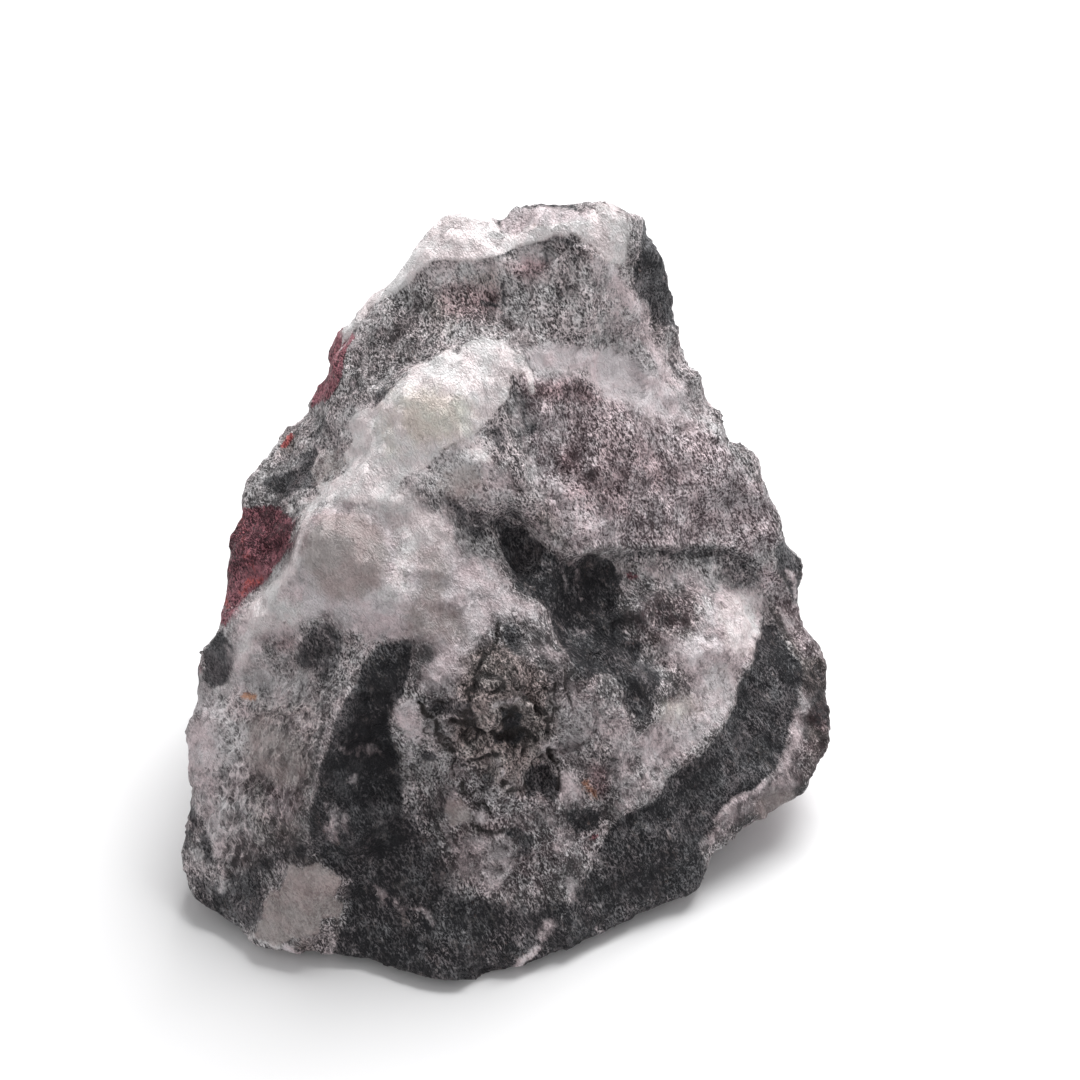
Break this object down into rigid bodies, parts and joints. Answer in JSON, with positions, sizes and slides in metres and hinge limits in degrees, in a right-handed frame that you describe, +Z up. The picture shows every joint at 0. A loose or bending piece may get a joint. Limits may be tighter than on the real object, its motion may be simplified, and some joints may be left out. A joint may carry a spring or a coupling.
{
  "type": "cinnabar in quartz",
  "caption": "Raw hand-sized chunk of dark rock veined with quartz and red cinnabar, a leaning wedge that rests on its flat broken base.",
  "frame": {"origin": "centre of the footprint's box, on the surface that the stone rests on", "axes": "+Z up, -Y towards the viewer's side with the quartz vein, +X to the viewer's right"},
  "size_m": [0.0509, 0.05, 0.0429],
  "materials": {
    "stone": "matte"
  },
  "bodies": {
    "root": {"cinnabar_quartz_stone": "stone"}
  },
  "joints": []
}
